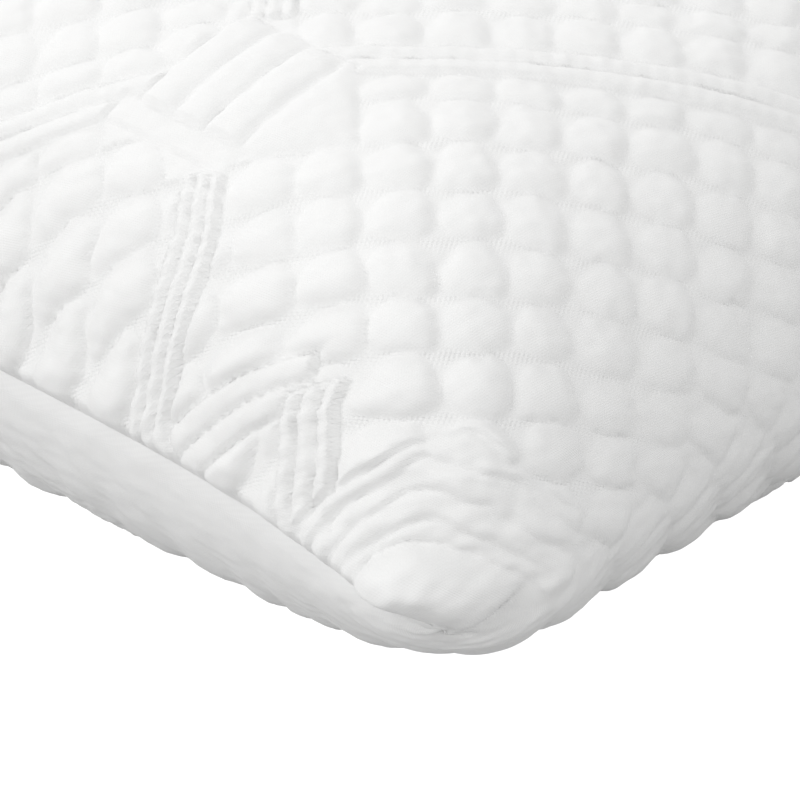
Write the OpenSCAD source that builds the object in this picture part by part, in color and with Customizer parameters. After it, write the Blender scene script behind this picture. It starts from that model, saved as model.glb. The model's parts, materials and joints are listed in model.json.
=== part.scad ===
// Bed pillow: a quilted cover with a zip along its back, around a zipped liner that holds the foam filling.
// X runs along the pillow, Y across it from the folded front to the zipped back, and Z up.
// The origin is at the middle of the face that the pillow rests on. Sizes are in millimetres.

/* [Pillow] */
// Length of the filled cover between its short sides, measured along the folded front
pillow_length = 632; // [560:2:720]
// Width of the filled cover between its long sides, measured at the corners
pillow_width = 484; // [440:2:540]
// Height of the filled pillow at its crown
pillow_height = 150; // [130:1:180]
// Height of the seam line above the surface that the pillow rests on
seam_height = 66; // [58:1:80]
// How far each sewn short side draws in at its middle
side_draw = 8; // [0:1:16]
// How far the folded front draws in at its middle
front_draw = 15; // [0:1:20]
// How far the zipped back draws in along the zip
back_draw = 10; // [8:1:14]
// How far each front corner's tip hangs below the seam line
front_droop = 19; // [0:1:22]
// How far each back corner's tip hangs below the seam line
back_droop = 6; // [0:1:8]
// How full the pillow is along its length: a higher power keeps its height closer to the short sides
full_along = 11; // [5:0.5:12]
// How full the pillow is across its width: a higher power keeps its height closer to the long sides
full_across = 6; // [4:0.5:8]
// How upright the edge is: a lower power gives a steeper edge
edge_power = 0.635; // [0.55:0.005:0.7]
// How much lower the pillow is at its sides than at its crown, as a share of its height
crown_fall = 0.08; // [0:0.01:0.12]

/* [Cover] */
// Thickness of the quilted fabric
cover_wall = 3; // [2:0.25:3.5]
// Width of the seam allowance turned inside along each short side
seam_allowance = 5; // [4:0.5:6]

/* [Liner] */
// Thickness of the plain liner fabric
liner_wall = 1; // [0.75:0.25:1.5]
// Space between the cover and the liner on the broad faces
liner_ease = 0.6; // [0.5:0.1:1.5]

/* [Zips] */
// Height of each zip tape, from the coils to its sewn edge
tape_height = 12; // [11.5:0.1:12.5]
// Thickness of the zip tape
tape_thickness = 0.6; // [0.4:0.1:0.7]
// Radius of each coil of the zips
coil_radius = 0.8; // [0.6:0.05:0.9]
// Length of the zip pull from its hinge to its tip
pull_length = 20; // [14:1:22]

/* [Care label] */
// Width of the folded care label along the seam
label_width = 35; // [25:1:45]
// Length of the care label below the seam
label_drop = 44; // [30:1:50]

/* [Hidden] */
$fn = 48;

quilt_white = [0.96, 0.96, 0.955];
liner_white = [0.90, 0.91, 0.92];
tape_white = [0.93, 0.93, 0.93];
coil_white = [0.98, 0.98, 0.98];
thread_white = [0.88, 0.88, 0.88];
slider_metal = [0.78, 0.79, 0.80];
foam_cream = [0.93, 0.88, 0.74];

crown_height = pillow_height - seam_height;
// The belly would hang this much lower than the resting face if nothing held the pillow up
belly = 1.05;
// How local the droop of a corner is: a higher power keeps it closer to the tip
droop_power = 7;
// How far each corner is cut short at its tip, as shares of the length and of the width, and how local that is
cut_along = 0.038;
cut_front = 0.063;
cut_back = 0.0125;
cut_power = 20;

// A place on a skin is given by u along the length and v across the width, each from -1 to 1.
// Along the back, the cover's mouth spans the stations between -mouth and mouth.
mouth = 0.875;
liner_mouth = 0.625;
end_steps = 5;
mouth_steps = 14;
row_steps = 20;
station_count = 2 * end_steps + mouth_steps;
loop_count = 2 * row_steps + 4;
liner_first = end_steps + round((mouth - liner_mouth) / (2 * mouth) * mouth_steps);

// A skin is a list of its insets from the cover's outer face, and its half heights along the edge
END = 0;
FRONT = 1;
BACK = 2;
FLAT = 3;
EDGE = 4;
BAND = 5;
LIP = 6;
zip_room = 11;
seam_room = seam_allowance + 2;
cover_outer = [0, 0, 0, 0, 3, 14, 6];
cover_inner = [cover_wall, cover_wall, cover_wall, cover_wall, 1.4, 13.4, 6];
liner_gap = cover_wall + liner_ease;
liner_outer = [cover_wall + seam_room, liner_gap, cover_wall + zip_room, liner_gap, 1.6, 13.6, 5.5];
liner_inner = [for (k = [0 : 6]) liner_outer[k] + (k < EDGE ? liner_wall : k < LIP ? -0.6 : 0)];
foam_skin = [
    liner_inner[END] + seam_room, liner_inner[FRONT] + 0.5, liner_inner[BACK] + 4, liner_inner[FLAT] + 0.5,
    0.6, 12, 5
];

function smooth(t) = let (c = min(1, max(0, t))) c * c * (3 - 2 * c);
function dome(t, full) = pow(max(0, 1 - pow(abs(t), full)), edge_power) * (1 - crown_fall * t * t);
function fullness(u, v) = dome(u, full_along) * dome(v, full_across);
// 1 along the mouth, falling to 0 at the short sides
function by_mouth(u) = smooth((1 - abs(u)) / (1 - mouth));
function corner_cut(u, v) = (v < 0 ? cut_front : cut_back) * pow(1 - by_mouth(u), 2);
// A skin that is inset from the cover hangs less at its corners, because they end before the cover's tips
function droop(s, u, v) =
    let (along = 1 - 2 * s[END] / pillow_length, across = 1 - 2 * (v < 0 ? s[FRONT] : s[BACK]) / pillow_width)
    v < 0
        ? front_droop * pow(abs(u * v) * along * across, droop_power)
        : back_droop * pow(v * along * across, droop_power) * (1 - by_mouth(u));
function seam_z(s, u, v) = seam_height - droop(s, u, v);

function skin_x(s, u, v) =
    u * (pillow_length / 2 - side_draw * (1 - v * v) - s[END]) * (1 - cut_along * pow(abs(v), cut_power));
function half_width(s, u, v) =
    pillow_width / 2 - (v < 0 ? front_draw * (1 - u * u) + s[FRONT] : back_draw * by_mouth(u) + s[BACK]);
function skin_y(s, u, v) = v * half_width(s, u, v) * (1 - corner_cut(u, v));
// Half height of the upright edge, which is a tall band beside the zip
function edge_half(s, u, v) = s[EDGE] + (s[BAND] - s[EDGE]) * smooth(2 * v - 1) * by_mouth(u);
function lip_half(s, u) = 0.4 * s[EDGE] + (s[LIP] - 0.4 * s[EDGE]) * by_mouth(u);
function rise(s, u, v) =
    let (e = edge_half(s, u, v)) e + (crown_height - s[FLAT] - e) * fullness(u, v);
function drop(s, u, v) =
    let (e = edge_half(s, u, v))
    min(seam_z(s, u, v) - s[FLAT], e + (belly * seam_height - s[FLAT] - e) * fullness(u, v));

function skin_point(s, u, v, above) = [skin_x(s, u, v), skin_y(s, u, v), seam_z(s, u, v) + above];
// One loop round the pillow: upper lip, top face back to front, bottom face front to back, lower lip
function loop_point(s, u, j) =
    j == 0 ? skin_point(s, u, 1, lip_half(s, u))
    : j <= row_steps + 1
        ? let (v = cos(180 * (j - 1) / row_steps)) skin_point(s, u, v, rise(s, u, v))
    : j <= 2 * row_steps + 2
        ? let (v = -cos(180 * (j - row_steps - 2) / row_steps)) skin_point(s, u, v, -drop(s, u, v))
    : skin_point(s, u, 1, -lip_half(s, u));

stations = [
    for (i = [0 : end_steps - 1]) -(mouth + (1 - mouth) * cos(90 * i / end_steps)),
    for (i = [0 : mouth_steps]) -mouth + 2 * mouth * i / mouth_steps,
    for (i = [end_steps - 1 : -1 : 0]) mouth + (1 - mouth) * cos(90 * i / end_steps)
];
function skin_points(s) =
    [for (i = [0 : station_count], j = [0 : loop_count - 1]) loop_point(s, stations[i], j)];

// Faces are built as four-cornered lists and split into triangles
function at(base, i, j) = base + i * loop_count + j;
function turned(face, inside) = inside ? [face[0], face[3], face[2], face[1]] : face;
function wall_faces(base, inside) = [
    for (i = [0 : station_count - 1], j = [0 : loop_count - 2])
        turned([at(base, i, j), at(base, i + 1, j), at(base, i + 1, j + 1), at(base, i, j + 1)], inside)
];
function back_faces(base, inside, first, last) = [
    for (i = [0 : station_count - 1])
        if (i < first || i >= last)
            turned(
                [at(base, i, loop_count - 1), at(base, i + 1, loop_count - 1), at(base, i + 1, 0), at(base, i, 0)],
                inside
            )
];
// The loop's first two and last two points stand in one upright line, so two faces reach past them
function cap_corners(j) =
    let (far = loop_count - 1 - j)
    j == 0 ? [0, 1, 2, far - 2]
    : j == 1 ? [far - 1, far, far + 1, 0]
    : [j, j + 1, far - 1, far];
function cap_faces(base, inside) = [
    for (side = [0, 1], j = [0 : row_steps])
        turned([for (k = cap_corners(j)) at(base, side * station_count, k)], inside != (side == 1))
];
function closed_faces(base, inside, first, last) =
    concat(wall_faces(base, inside), back_faces(base, inside, first, last), cap_faces(base, inside));
function mouth_faces(out, in, first, last) = let (low = loop_count - 1) concat(
    [for (i = [first : last - 1]) [at(out, i + 1, 0), at(out, i, 0), at(in, i, 0), at(in, i + 1, 0)]],
    [for (i = [first : last - 1]) [at(out, i, low), at(out, i + 1, low), at(in, i + 1, low), at(in, i, low)]],
    [[at(out, first, 0), at(out, first, low), at(in, first, low), at(in, first, 0)]],
    [[at(out, last, low), at(out, last, 0), at(in, last, 0), at(in, last, low)]]
);
function triangles(faces) = [for (f = faces, half = [0, 1]) half == 0 ? [f[0], f[1], f[2]] : [f[0], f[2], f[3]]];

// A panel of fabric wrapped round the front and sewn at both ends, open along the back from first to last
module wrapped_panel(outer, inner, first, last) {
    inside = (station_count + 1) * loop_count;
    polyhedron(
        points = concat(skin_points(outer), skin_points(inner)),
        faces = triangles(concat(
            closed_faces(0, false, first, last),
            closed_faces(inside, true, first, last),
            mouth_faces(0, inside, first, last)
        ))
    );
}

// The turned and stitched seam allowance inside one short side: side is -1 for left and 1 for right
module end_seam(skin, side, half_height) {
    clearance = 0.3;
    reach = 0.94;
    steps = 18;
    corners = [[0, 1], [0, -1], [1, -1], [1, 1]];
    points = [
        for (k = [0 : steps], c = corners)
            let (v = reach * (2 * k / steps - 1), edge = skin_x(skin, 1, v) - clearance - c[0] * seam_allowance)
            [side * edge, skin_y(skin, 1, v), seam_z(skin, 1, v) + c[1] * half_height]
    ];
    walls = [
        for (k = [0 : steps - 1], c = [0 : 3])
            let (next = (c + 1) % 4)
            [4 * k + c, 4 * k + next, 4 * (k + 1) + next, 4 * (k + 1) + c]
    ];
    caps = [[3, 2, 1, 0], [for (c = [0 : 3]) 4 * steps + c]];
    polyhedron(points = points, faces = triangles([for (f = concat(walls, caps)) turned(f, side == -1)]));
}

// A zip is given by the place of its tapes' outer face in Y and half the length of its tapes
zip_gap = 0.3;
end_gap = 1;
function zip_behind(skin, mouth_end) = [skin_y(skin, 0, 1) - zip_gap, skin_x(skin, mouth_end, 1) - end_gap];
cover_zip = zip_behind(cover_inner, mouth);
liner_zip = zip_behind(liner_inner, liner_mouth);
WALL = 0;
HALF = 1;

// Half the slot between the two rows of coils, which the slider's web runs in
slot_half = 0.6;
stop_length = 3;
stop_inset = 4;
coil_inset = stop_inset + stop_length + 0.2;
slider_half = 6;
slider_height = 8.8;
plate = 1.2;
plate_gap = 0.35;
web_half = 0.35;
slider_rest_inset = coil_inset + slider_half + 0.5;
plate_top = 2 * coil_radius + plate_gap + plate;
pin_radius = 0.6;
pin_above = plate_top + 0.3 + pin_radius;
bridge_half = 4.6;
bridge_bar = 0.9;
bridge_rise = 2.6;
bridge_width = 1.6;
pull_half = 3;
arm_inner = 1.5;
arm_outer = 2.5;
tab_start = 5.5;

module zip_tape(zip, up) {
    translate([-zip[HALF], zip[WALL] - tape_thickness, seam_height + (up ? slot_half : -slot_half - tape_height)])
        cube([2 * zip[HALF], tape_thickness, tape_height]);
}

module zip_coil(zip, up) {
    length = 2 * (zip[HALF] - coil_inset);
    translate([-length / 2, zip[WALL] + coil_radius, seam_height + (up ? 1 : -1) * (slot_half + coil_radius)])
        rotate([0, 90, 0])
            cylinder(h = length, r = coil_radius);
}

module zip_top_stops(zip) {
    for (up = [0, 1])
        translate([zip[HALF] - stop_inset - stop_length, zip[WALL], seam_height + (up == 1 ? slot_half : -slot_half - 3)])
            cube([stop_length, 2, 3]);
}

module zip_bottom_stop(zip) {
    translate([stop_inset - zip[HALF], zip[WALL], seam_height - 3.6])
        cube([stop_length, 2, 7.2]);
}

// A plate of the slider, square at its mouth and rounded at its nose
module slider_plate() {
    nose = 3;
    rotate([90, 0, 0])
        translate([0, 0, -plate])
            linear_extrude(plate)
                union() {
                    translate([-slider_half, -slider_height / 2])
                        square([2 * slider_half - nose, slider_height]);
                    translate([slider_half - nose, -slider_height / 2 + nose])
                        square([nose, slider_height - 2 * nose]);
                    for (y = [-1, 1])
                        translate([slider_half - nose, y * (slider_height / 2 - nose)])
                            circle(nose);
                }
}

module zip_slider(zip) {
    inner_face = -tape_thickness - plate_gap;
    translate([zip[HALF] - slider_rest_inset, zip[WALL], seam_height]) {
        translate([0, plate_top - plate, 0])
            slider_plate();
        translate([0, inner_face - plate, 0])
            slider_plate();
        translate([1.5, inner_face - plate / 2, -web_half])
            cube([4, plate_top - inner_face, 2 * web_half]);
        for (x = [-bridge_half, bridge_half - plate])
            translate([x, plate_top - plate / 2, -bridge_width / 2])
                cube([plate, bridge_rise + plate / 2, bridge_width]);
        translate([-bridge_half, plate_top + bridge_rise - bridge_bar, -bridge_width / 2])
            cube([2 * bridge_half, bridge_bar, bridge_width]);
    }
}

// The pull turns on a cross pin under the slider's bridge and lies along the closed coils
module zip_pull(zip) {
    eye = 1.4;
    translate([zip[HALF] - slider_rest_inset, zip[WALL] + pin_above, seam_height]) {
        translate([0, 0, -arm_outer])
            cylinder(h = 2 * arm_outer, r = pin_radius);
        for (z = [-arm_outer, arm_inner])
            translate([-tab_start - 0.5, -pin_radius, z])
                cube([tab_start + 0.5, 2 * pin_radius, arm_outer - arm_inner]);
        rotate([90, 0, 0])
            translate([0, 0, -pin_radius])
                linear_extrude(2 * pin_radius)
                    difference() {
                        union() {
                            translate([pull_half - pull_length, -pull_half])
                                square([pull_length - pull_half - tab_start, 2 * pull_half]);
                            translate([pull_half - pull_length, 0])
                                circle(pull_half);
                        }
                        translate([pull_half - pull_length, 0])
                            circle(eye);
                    }
    }
}

module cover_panel() {
    color(quilt_white)
        wrapped_panel(cover_outer, cover_inner, end_steps, end_steps + mouth_steps);
}

module cover_left_seam() {
    color(thread_white)
        end_seam(cover_inner, -1, 1);
}

module cover_right_seam() {
    color(thread_white)
        end_seam(cover_inner, 1, 1);
}

// A blank folded label, sewn into the right seam and hanging beside the pillow
module care_label() {
    label_y = 40;
    ply = 1;
    sewn_in = 1.5;
    edge_x = skin_x(cover_outer, 1, label_y / (pillow_width / 2 - back_draw));
    color(coil_white)
        translate([edge_x, label_y - label_width / 2, seam_height])
            rotate([90, 0, 0])
                translate([0, 0, -label_width])
                    linear_extrude(label_width)
                        union() {
                            translate([-sewn_in, -ply / 2])
                                square([sewn_in + 1.5, ply]);
                            translate([1.5 - ply / 2, -label_drop])
                                square([ply, label_drop + ply / 2]);
                        }
}

module cover_zip_upper_tape() {
    color(tape_white)
        zip_tape(cover_zip, true);
}

module cover_zip_lower_tape() {
    color(tape_white)
        zip_tape(cover_zip, false);
}

module cover_zip_upper_coil() {
    color(coil_white)
        zip_coil(cover_zip, true);
}

module cover_zip_lower_coil() {
    color(coil_white)
        zip_coil(cover_zip, false);
}

module cover_zip_top_stops() {
    color(slider_metal)
        zip_top_stops(cover_zip);
}

module cover_zip_bottom_stop() {
    color(slider_metal)
        zip_bottom_stop(cover_zip);
}

module cover_zip_slider() {
    color(slider_metal)
        zip_slider(cover_zip);
}

module cover_zip_pull() {
    color(slider_metal)
        zip_pull(cover_zip);
}

module liner_panel() {
    color(liner_white)
        wrapped_panel(liner_outer, liner_inner, liner_first, station_count - liner_first);
}

module liner_left_seam() {
    color(thread_white)
        end_seam(liner_inner, -1, 0.6);
}

module liner_right_seam() {
    color(thread_white)
        end_seam(liner_inner, 1, 0.6);
}

module liner_zip_upper_tape() {
    color(tape_white)
        zip_tape(liner_zip, true);
}

module liner_zip_lower_tape() {
    color(tape_white)
        zip_tape(liner_zip, false);
}

module liner_zip_upper_coil() {
    color(coil_white)
        zip_coil(liner_zip, true);
}

module liner_zip_lower_coil() {
    color(coil_white)
        zip_coil(liner_zip, false);
}

module liner_zip_top_stops() {
    color(slider_metal)
        zip_top_stops(liner_zip);
}

module liner_zip_bottom_stop() {
    color(slider_metal)
        zip_bottom_stop(liner_zip);
}

module liner_zip_slider() {
    color(slider_metal)
        zip_slider(liner_zip);
}

module liner_zip_pull() {
    color(slider_metal)
        zip_pull(liner_zip);
}

// The body of shredded foam that fills the liner, as one settled mass
module foam_filling() {
    color(foam_cream)
        polyhedron(points = skin_points(foam_skin), faces = triangles(closed_faces(0, false, 0, 0)));
}

cover_panel();
cover_left_seam();
cover_right_seam();
care_label();
cover_zip_upper_tape();
cover_zip_lower_tape();
cover_zip_upper_coil();
cover_zip_lower_coil();
cover_zip_top_stops();
cover_zip_bottom_stop();
cover_zip_slider();
cover_zip_pull();
liner_panel();
liner_left_seam();
liner_right_seam();
liner_zip_upper_tape();
liner_zip_lower_tape();
liner_zip_upper_coil();
liner_zip_lower_coil();
liner_zip_top_stops();
liner_zip_bottom_stop();
liner_zip_slider();
liner_zip_pull();
foam_filling();
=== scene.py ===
import json
import math

import bmesh
import bpy
import numpy as np
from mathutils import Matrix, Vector


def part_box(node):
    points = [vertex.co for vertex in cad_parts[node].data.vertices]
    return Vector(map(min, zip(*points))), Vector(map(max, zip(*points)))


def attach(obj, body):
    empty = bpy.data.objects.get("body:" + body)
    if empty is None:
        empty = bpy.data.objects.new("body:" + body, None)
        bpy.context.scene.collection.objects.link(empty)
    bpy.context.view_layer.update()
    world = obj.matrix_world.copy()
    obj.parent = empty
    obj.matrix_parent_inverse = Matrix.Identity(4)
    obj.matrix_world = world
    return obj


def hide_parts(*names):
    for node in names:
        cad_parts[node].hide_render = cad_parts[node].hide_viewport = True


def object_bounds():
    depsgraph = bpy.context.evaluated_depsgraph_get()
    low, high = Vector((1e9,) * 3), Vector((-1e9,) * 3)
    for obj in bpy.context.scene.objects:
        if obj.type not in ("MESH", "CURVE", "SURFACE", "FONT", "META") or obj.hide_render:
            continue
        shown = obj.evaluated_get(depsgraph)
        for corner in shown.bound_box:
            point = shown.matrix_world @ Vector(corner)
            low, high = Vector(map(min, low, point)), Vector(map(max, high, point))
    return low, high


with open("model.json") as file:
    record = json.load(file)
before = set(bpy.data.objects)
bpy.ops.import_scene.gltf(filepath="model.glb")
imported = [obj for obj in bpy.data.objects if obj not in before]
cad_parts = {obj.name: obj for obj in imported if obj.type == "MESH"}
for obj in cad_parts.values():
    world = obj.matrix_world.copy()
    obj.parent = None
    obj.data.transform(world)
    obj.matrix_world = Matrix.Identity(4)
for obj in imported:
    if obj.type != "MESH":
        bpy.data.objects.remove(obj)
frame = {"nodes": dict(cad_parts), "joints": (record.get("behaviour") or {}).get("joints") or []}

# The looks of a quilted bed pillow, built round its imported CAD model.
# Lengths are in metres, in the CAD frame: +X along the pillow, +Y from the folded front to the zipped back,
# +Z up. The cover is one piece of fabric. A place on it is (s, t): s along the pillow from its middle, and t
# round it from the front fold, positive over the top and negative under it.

cad_low, cad_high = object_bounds()

MM = 0.001
BODY = "pillow"
JOINTS = {joint["name"]: joint for joint in frame["joints"]}
SEAM_HEIGHT = JOINTS["cover_pull_hinge"]["pos_m"][2]
HEIGHT = cad_high.z


# ---- camera, light and floor

VIEW_AZIMUTH = 314.0
VIEW_ELEVATION = 28.0
VIEW_DISTANCE = 1.2
VIEW_WIDTH = 0.1948
VIEW_FROM_CORNER = 59.2 * MM, 74.9 * MM
VIEW_ABOVE_SEAM = 4 * MM
SENSOR = 36.0
LAMP_DISTANCE = 3.0
LAMP_SIZE = 2.2
FLOOR_HALF = 30.0
FLOOR_GAP = 0.5 * MM
WHITE, GREY = (1.0, 1.0, 1.0, 1.0), (0.5, 0.5, 0.5, 1.0)


def away(azimuth, elevation):
    """Unit vector from the object towards a camera or lamp at those angles."""
    a, e = math.radians(azimuth), math.radians(elevation)
    return Vector((math.sin(a) * math.cos(e), -math.cos(a) * math.cos(e), math.sin(e)))


def link(name, data):
    """A new object in the scene."""
    made = bpy.data.objects.new(name, data)
    bpy.context.scene.collection.objects.link(made)
    return made


def aim(name, data, target, azimuth, elevation, distance):
    """A camera or lamp that looks at the target from that side."""
    made = link(name, data)
    direction = away(azimuth, elevation)
    made.location = target + direction * distance
    made.rotation_mode = "QUATERNION"
    made.rotation_quaternion = (-direction).to_track_quat("-Z", "Y")
    return made


def set_inputs(node, **values):
    """Sets a node's inputs. An underscore stands for a space in an input's name."""
    for name, value in values.items():
        node.inputs[name.replace("_", " ")].default_value = value


def make_camera():
    """The camera looks at the folded front's left corner."""
    along, across = VIEW_FROM_CORNER
    target = Vector((cad_low.x + along, cad_low.y + across, SEAM_HEIGHT + VIEW_ABOVE_SEAM))
    data = bpy.data.cameras.new("camera")
    data.sensor_width = SENSOR
    data.lens = SENSOR * VIEW_DISTANCE / VIEW_WIDTH
    camera = aim("camera", data, target, VIEW_AZIMUTH, VIEW_ELEVATION, VIEW_DISTANCE)
    bpy.context.scene.camera = camera


def make_lamp(name, azimuth, elevation, power):
    """A square soft lamp that points at the pillow."""
    data = bpy.data.lights.new(name, "AREA")
    data.size = LAMP_SIZE
    data.energy = power
    aim(name, data, Vector(), azimuth, elevation, LAMP_DISTANCE)


def make_world(light, shown):
    """An even pale surround, which shows brighter than the light it gives."""
    world = bpy.data.worlds.new("studio")
    bpy.context.scene.world = world
    world.use_nodes = True
    nodes, links = world.node_tree.nodes, world.node_tree.links
    background = nodes["Background"]
    set_inputs(background, Color=WHITE)
    path = nodes.new("ShaderNodeLightPath")
    strength = nodes.new("ShaderNodeMapRange")
    set_inputs(strength, To_Min=light, To_Max=shown)
    links.new(path.outputs["Is Camera Ray"], strength.inputs["Value"])
    links.new(strength.outputs["Result"], background.inputs["Strength"])


def make_floor():
    """A plain white floor that keeps a faint contact shadow."""
    mesh = bpy.data.meshes.new("floor")
    corners = [(FLOOR_HALF * x, FLOOR_HALF * y, 0) for x, y in ((-1, -1), (1, -1), (1, 1), (-1, 1))]
    mesh.from_pydata(corners, [], [(0, 1, 2, 3)])
    floor = link("floor", mesh)
    floor.location.z = -FLOOR_GAP
    material = bpy.data.materials.new("floor")
    material.use_nodes = True
    shader = material.node_tree.nodes["Principled BSDF"]
    set_inputs(shader, Base_Color=GREY, Roughness=1.0, Specular_IOR_Level=0.0, Emission_Color=WHITE)
    shown = material.node_tree.nodes.new("ShaderNodeLightPath")
    material.node_tree.links.new(shown.outputs["Is Camera Ray"], shader.inputs["Emission Strength"])
    mesh.materials.append(material)


make_camera()
make_world(light=0.65, shown=1.0)
make_lamp("key", azimuth=256, elevation=27, power=32)
make_lamp("front", azimuth=4, elevation=35, power=13)
make_lamp("back", azimuth=151, elevation=41, power=26)
make_floor()
bpy.context.scene.view_settings.view_transform = "Standard"


# ---- form

# The same family of skins as the CAD. u runs along the pillow and v across it, each from -1 to 1
PILLOW_LENGTH = 632 * MM
PILLOW_WIDTH = 484 * MM
SIDE_DRAW = 8 * MM
FRONT_DRAW = 15 * MM
BACK_DRAW = 10 * MM
FRONT_DROOP = 19 * MM
BACK_DROOP = 6 * MM
DROOP_POWER = 7
FULL_ALONG = 11
FULL_ACROSS = 6
EDGE_POWER = 0.635
CROWN_FALL = 0.08
BELLY = 1.05
CUT_ALONG = 0.038
CUT_FRONT = 0.063
CUT_BACK = 0.0125
CUT_POWER = 20
MOUTH = 0.875


def make_skin(**millimetres):
    """A skin: its insets from the cover's outer face at the short sides, the front, the back, and the top and
    bottom, then its half heights along its thin edges, along the zip's band and at the zip's lips."""
    return {name: length * MM for name, length in millimetres.items()}


COVER_OUTER = make_skin(end=0, front=0, back=0, flat=0, edge=3, band=14, lip=6)
COVER_INNER = make_skin(end=3, front=3, back=3, flat=3, edge=1.4, band=13.4, lip=6)
LINER_OUTER = make_skin(end=10, front=3.6, back=14, flat=3.6, edge=1.6, band=13.6, lip=5.5)
LINER_INNER = make_skin(end=11, front=4.6, back=15, flat=4.6, edge=1, band=13, lip=5.5)
FOAM_SKIN = make_skin(end=18, front=5.1, back=19, flat=5.1, edge=0.6, band=12, lip=5)

# How finely a skin's formula is read, and its lips' half height at the short sides, as a share of its edge
READ_ALONG, READ_ACROSS = 241, 181
SIDE_LIP = 0.4


def smooth(t):
    """A smooth step from 0 to 1."""
    c = np.clip(t, 0, 1)
    return c * c * (3 - 2 * c)


def dome(t, full):
    """The crown's height over a line across the pillow, from 0 at its ends to 1."""
    return np.maximum(0, 1 - np.abs(t) ** full) ** EDGE_POWER * (1 - CROWN_FALL * t * t)


def by_mouth(u):
    """1 along the cover's mouth, falling to 0 at the short sides."""
    return smooth((1 - np.abs(u)) / (1 - MOUTH))


def skin_point(skin, u, v, height):
    """A point of a skin, that far above its seam line, and the seam line's own height."""
    front = v < 0
    half_width = PILLOW_WIDTH / 2 - np.where(
        front, FRONT_DRAW * (1 - u * u) + skin["front"], BACK_DRAW * by_mouth(u) + skin["back"]
    )
    corner_cut = np.where(front, CUT_FRONT, CUT_BACK) * (1 - by_mouth(u)) ** 2
    half_length = PILLOW_LENGTH / 2 - SIDE_DRAW * (1 - v * v) - skin["end"]
    x = u * half_length * (1 - CUT_ALONG * np.abs(v) ** CUT_POWER)
    y = v * half_width * (1 - corner_cut)
    return np.stack([x, y, seam_line(skin, u, v) + height], -1)


def seam_line(skin, u, v):
    """Height of the seam line, which hangs lower at the corners."""
    across = np.where(v < 0, skin["front"], skin["back"])
    inner = (1 - 2 * skin["end"] / PILLOW_LENGTH) * (1 - 2 * across / PILLOW_WIDTH)
    front = FRONT_DROOP * np.abs(u * v * inner) ** DROOP_POWER
    back = BACK_DROOP * np.abs(v * inner) ** DROOP_POWER * (1 - by_mouth(u))
    return SEAM_HEIGHT - np.where(v < 0, front, back)


def skin_heights(skin, u, v):
    """Heights of a skin's top and bottom above its seam line."""
    edge = skin["edge"] + (skin["band"] - skin["edge"]) * smooth(2 * v - 1) * by_mouth(u)
    fullness = dome(u, FULL_ALONG) * dome(v, FULL_ACROSS)
    rise = edge + (HEIGHT - SEAM_HEIGHT - skin["flat"] - edge) * fullness
    drop = edge + (BELLY * SEAM_HEIGHT - skin["flat"] - edge) * fullness
    return rise, -np.minimum(seam_line(skin, u, v) - skin["flat"], drop)


def even_out(points, count):
    """Respaces each line along the first axis into count even steps of its own length."""
    steps = np.linalg.norm(np.diff(points, axis=0), axis=-1)
    spaced = np.empty((count + 1,) + points.shape[1:])
    for k in range(points.shape[1]):
        reached = np.concatenate([[0], np.cumsum(steps[:, k])])
        wanted = np.linspace(0, reached[-1], count + 1)
        for axis in range(3):
            spaced[:, k, axis] = np.interp(wanted, reached, points[:, k, axis])
    return spaced


def form_grid(skin, columns, quarter):
    """Points of a skin, evenly spaced along it and, a quarter at a time, round it. A column runs from the
    upper lip at the back, over the top, round the front fold and under to the lower lip."""
    u = np.sin(np.linspace(-math.pi / 2, math.pi / 2, READ_ALONG))
    v = np.sin(np.linspace(math.pi / 2, -math.pi / 2, READ_ACROSS))
    u_grid, v_grid = np.meshgrid(u, v, indexing="ij")
    side_lip = SIDE_LIP * skin["edge"]
    lip = side_lip + (skin["lip"] - side_lip) * by_mouth(u)
    fold = skin_point(skin, u, -np.ones_like(u), 0.0)[:, None]
    halves = []
    for side, height in zip((1, -1), skin_heights(skin, u_grid, v_grid)):
        back = skin_point(skin, u, np.ones_like(u), side * lip)[:, None]
        line = np.concatenate([back, skin_point(skin, u_grid, v_grid, height), fold], 1).swapaxes(0, 1)
        middle = len(v) // 2 + 1
        quarters = even_out(line[: middle + 1], quarter)[:-1], even_out(line[middle:], quarter)
        halves.append(even_out(np.concatenate(quarters).swapaxes(0, 1), columns))
    top, bottom = halves
    return np.concatenate([top, bottom[:, -2::-1]], 1)


def grid_faces(index):
    """The quads of a grid of points, from the points' numbers."""
    return np.stack([index[:-1, :-1], index[:-1, 1:], index[1:, 1:], index[1:, :-1]], -1).reshape(-1, 4)


def line_lengths(grid, axis):
    return np.linalg.norm(np.diff(grid, axis=axis), axis=-1).sum(axis)


# ---- reading a grid between its points


def spline_weights(positions, count):
    """Catmull-Rom weights that read a line of count points at fractional positions."""
    base = np.clip(np.floor(positions).astype(int), 0, count - 2)
    f = positions - base
    taps = (
        (-1, -0.5 * f + f**2 - 0.5 * f**3),
        (0, 1 - 2.5 * f**2 + 1.5 * f**3),
        (1, 0.5 * f + 2 * f**2 - 1.5 * f**3),
        (2, -0.5 * f**2 + 0.5 * f**3),
    )
    weights = np.zeros((len(positions), count))
    rows = np.arange(len(positions))
    for offset, weight in taps:
        index = base + offset
        inside = np.clip(index, 0, count - 1)
        mirrored = np.where(index < 0, 1, np.where(index >= count, count - 2, inside))
        outside = index != inside
        np.add.at(weights, (rows, inside), np.where(outside, 2 * weight, weight))
        np.add.at(weights, (rows, mirrored), np.where(outside, -weight, 0))
    return weights


def read_grid(grid, along, around):
    """The grid's values at every pair of those shares, from 0 to 1, along it and round it."""
    columns, rows = grid.shape[:2]
    first = spline_weights(np.asarray(along) * (columns - 1), columns)
    second = spline_weights(np.asarray(around) * (rows - 1), rows)
    return np.einsum("bj,ajk->abk", second, np.tensordot(first, grid, (1, 0)), optimize=True)


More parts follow.
